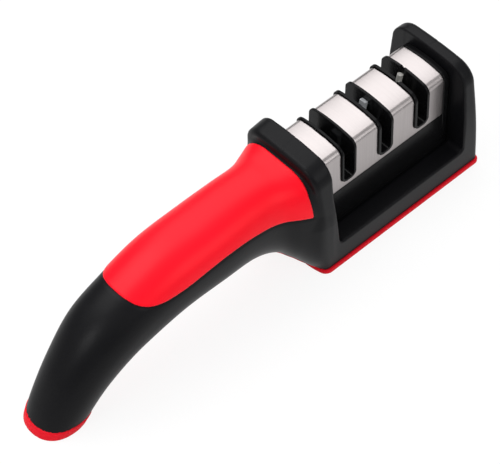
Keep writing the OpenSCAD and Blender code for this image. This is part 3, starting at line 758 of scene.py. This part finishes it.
def screws_on(name, body, node, diameter, length, spots):
    """A set of equal screws in their places, sizes in millimetres."""
    mesh = bpy.data.meshes.new(name)
    mesh.from_pydata([[v * MM for v in place] for place, turn in spots], [], [])
    turns = mesh.attributes.new("turn", "FLOAT_VECTOR", "POINT")
    turns.data.foreach_set("vector", [math.radians(v) for place, turn in spots for v in turn])
    piece = bpy.data.objects.new(name, mesh)
    bpy.context.scene.collection.objects.link(piece)
    modifier = piece.modifiers.new("screws", "NODES")
    modifier.node_group = SCREWS
    sizes = {**SCREW_SIZES, "Diameter": diameter * MM, "Length": length * MM,
             "Pitch": PITCH_SHARE * diameter * MM, "Metal": FINISHES["screw_steel"]}
    for item in SCREWS.interface.items_tree:
        if item.name in sizes:
            modifier[item.identifier] = sizes[item.name]
    mesh = applied(piece, name)
    mesh.polygons.foreach_set("use_smooth", np.ones(len(mesh.polygons), bool))
    mesh.set_sharp_from_angle(angle=SHARP_FROM)
    piece_of(mesh, body, "screw_steel", node)


# ---- pieces

# Pieces made from forms: the corners and step of the grid, then body, slot and node.
ROOM = 0.6
FORMED = (
    ("moulded_body", shell_form, (-107, -23, 0), (106, 23, 60), 0.6, "base", "shell_black", "body_shell"),
    ("soft_grip", grip_form, (-68, -21, 30), (21, 21, 58), 0.45, "base", "grip_red", "grip_inlay"),
    ("soft_sole", sole_form, (-107, -23.5, -0.6), (106.4, 23.5, 27), 0.5, "base", "sole_red", "base_sole"),
    ("brushed_cover", cover_form, (29.2, -13, 27.4), (92.8, 13, 52.2), 0.3,
     "cartridge", "cover_steel", "steel_cover"),
    ("cap_by_collar", cap_form(CAP_FACES[0], COVER[0]), (CAP_FACES[0] - ROOM, -13.2, 14.3),
     (COVER[0] + ROOM, 13.2, 52.2), 0.3, "cartridge", "cartridge_black", "end_cap_near"),
    ("cap_by_wall", cap_form(CAP_FACES[1], COVER[1]), (COVER[1] - ROOM, -13.2, 14.3),
     (CAP_FACES[1] + ROOM, 13.2, 52.2), 0.3, "cartridge", "cartridge_black", "end_cap_far"),
)
for name, form, low, high, step, body, slot, node in FORMED:
    piece_of(mesh_of(name, *skin_of(form, low, high, step)), body, slot, node)

# Pieces that keep the solid's shape: the width of the eased edges, then body, slot and node.
EASED = (
    ("cartridge_body", 0.3, "cartridge", "cartridge_black", "cartridge_core"),
    ("cartridge_foot", 0.3, "cartridge", "cartridge_black", "cartridge_floor"),
    ("scissor_slot_lining", 0.45, "cartridge", "cartridge_black", "scissor_insert"),
    ("coarse_slot_lining", 0.45, "cartridge", "cartridge_black", "coarse_insert"),
    ("fine_slot_lining", 0.45, "cartridge", "cartridge_black", "fine_insert"),
    ("scissor_carbide", 0.12, "cartridge", "carbide", "scissor_bar"),
    ("coarse_carbide_left", 0.12, "cartridge", "carbide", "coarse_bar_left"),
    ("coarse_carbide_right", 0.12, "cartridge", "carbide", "coarse_bar_right"),
    ("ceramic_rod_left", 0.2, "fine_rod_left", "rod_ceramic", "fine_rod_left"),
    ("ceramic_rod_right", 0.2, "fine_rod_right", "rod_ceramic", "fine_rod_right"),
)
for name, width, body, slot, node in EASED:
    piece_of(eased(node, name, width), body, slot, node)

# The plate is hidden under the shell, so its solid only takes the shell's finish.
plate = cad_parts["base_plate"].data
plate.materials.clear()
plate.materials.append(FINISHES["shell_black"])

screws_on("plate_screw_set", "base", "plate_screws", diameter=2.6, length=10, spots=PLATE_SCREWS)
screws_on("foot_screw_set", "cartridge", "floor_screws", diameter=2.0, length=7, spots=FOOT_SCREWS)
screws_on("cap_screw_set", "cartridge", "cap_screws", diameter=2.0, length=6, spots=CAP_SCREWS)
screws_on("lining_screw_set", "cartridge", "insert_screws", diameter=2.0, length=9, spots=LINING_SCREWS)


# ---- camera, floor and light

FLOOR_HALF = 3           # metres
FLOOR_GLOW = 0.88        # share of plain white where the floor is seen
TENT_SIDES, TENT_TOP = 0.15, 0.85


def camera_at(azimuth, elevation, roll, distance, aim, slide, focal_px, image_width):
    """A camera that looks at aim from a direction in degrees, slid sideways and up, in millimetres.
    Its focal length is in pixels of the image."""
    a, e, r = (math.radians(v) for v in (azimuth, elevation, roll))
    back = Vector((math.sin(a) * math.cos(e), -math.cos(a) * math.cos(e), math.sin(e)))
    level = Vector((0, 0, 1)).cross(back).normalized()
    upright = back.cross(level)
    right = math.cos(r) * level + math.sin(r) * upright
    up = -math.sin(r) * level + math.cos(r) * upright
    place = Vector(aim) + slide[0] * right + slide[1] * up + distance * back
    data = bpy.data.cameras.new("photo_view")
    data.sensor_width = 36.0
    data.lens = focal_px / image_width * data.sensor_width
    data.clip_start, data.clip_end = 0.01, 20.0
    camera = bpy.data.objects.new("photo_view", data)
    turn = Matrix((right, up, back)).transposed().to_4x4()
    camera.matrix_world = Matrix.Translation(place * MM) @ turn
    bpy.context.scene.collection.objects.link(camera)
    bpy.context.scene.camera = camera


def soft_panel(name, place, aim, size, power):
    """A square soft light in metres that faces a point."""
    data = bpy.data.lights.new(name, "AREA")
    data.shape, data.size, data.energy = "SQUARE", size, power
    light = bpy.data.objects.new(name, data)
    light.location = place
    light.rotation_euler = (Vector(place) - Vector(aim)).to_track_quat("Z", "Y").to_euler()
    bpy.context.scene.collection.objects.link(light)


def shown(tree):
    """One for rays that show the floor: straight to the camera, in a reflection or through a clear piece."""
    path = add(tree, "ShaderNodeLightPath").outputs
    seen = add(tree, "ShaderNodeMath", {
        0: path["Is Camera Ray"], 1: path["Is Glossy Ray"]}, operation="MAXIMUM")
    seen = add(tree, "ShaderNodeMath", {
        0: seen.outputs[0], 1: path["Is Transmission Ray"]}, operation="MAXIMUM")
    return seen.outputs[0]


def white_floor():
    """A wide pale floor that reads as white and keeps a light shadow."""
    mesh = bpy.data.meshes.new("floor")
    corners = [(x * FLOOR_HALF, y * FLOOR_HALF, 0) for x, y in ((-1, -1), (1, -1), (1, 1), (-1, 1))]
    mesh.from_pydata(corners, [], [(0, 1, 2, 3)])
    floor = bpy.data.objects.new("floor", mesh)
    bpy.context.scene.collection.objects.link(floor)
    material = bpy.data.materials.new("white paper sweep")
    material.use_nodes = True
    tree = material.node_tree
    tree.nodes.clear()
    paper = add(tree, "ShaderNodeBsdfDiffuse", {"Color": colour("#f4f4f4")})
    glow = add(tree, "ShaderNodeEmission", {"Color": colour("#ffffff"), "Strength": 1.0})
    share = add(tree, "ShaderNodeMath", {0: shown(tree), 1: FLOOR_GLOW}, operation="MULTIPLY")
    mixed = add(tree, "ShaderNodeMixShader", {
        0: share.outputs[0], 1: paper.outputs["BSDF"], 2: glow.outputs["Emission"]})
    add(tree, "ShaderNodeOutputMaterial", {"Surface": mixed.outputs["Shader"]})
    mesh.materials.append(material)


def studio_world():
    """A white tent that is brightest overhead and grey towards the floor."""
    world = bpy.data.worlds.new("studio")
    world.use_nodes = True
    tree = world.node_tree
    tree.nodes.clear()
    direction = add(tree, "ShaderNodeTexCoord").outputs["Generated"]
    height = add(tree, "ShaderNodeSeparateXYZ", {"Vector": direction}).outputs["Z"]
    level = add(tree, "ShaderNodeMapRange", {"Value": height, "To Min": TENT_SIDES, "To Max": TENT_TOP})
    tent = add(tree, "ShaderNodeBackground", {
        "Color": colour("#ffffff"), "Strength": level.outputs["Result"]})
    add(tree, "ShaderNodeOutputWorld", {"Surface": tent.outputs["Background"]})
    bpy.context.scene.world = world


camera_at(azimuth=-41.376, elevation=51.909, roll=-1.5, distance=823.337, aim=(18.7, 0, 25),
          slide=(-11.614, -9.770), focal_px=2200, image_width=500)
white_floor()
studio_world()
soft_panel("key_above", place=(-0.25, 0.45, 1.0), aim=(-0.03, 0, 0.03), size=0.6, power=4.6)
soft_panel("side_strip", place=(-0.82, 0.05, 0.6), aim=(-0.08, 0, 0.035), size=0.3, power=2.2)
soft_panel("panel_behind", place=(0.46, 0.52, 0.9), aim=(0.06, 0, 0.04), size=0.9, power=5.4)
soft_panel("front_fill", place=(0.25, -0.9, 0.55), aim=(0.03, 0, 0.03), size=0.6, power=2.6)
bpy.context.scene.view_settings.view_transform = "Standard"
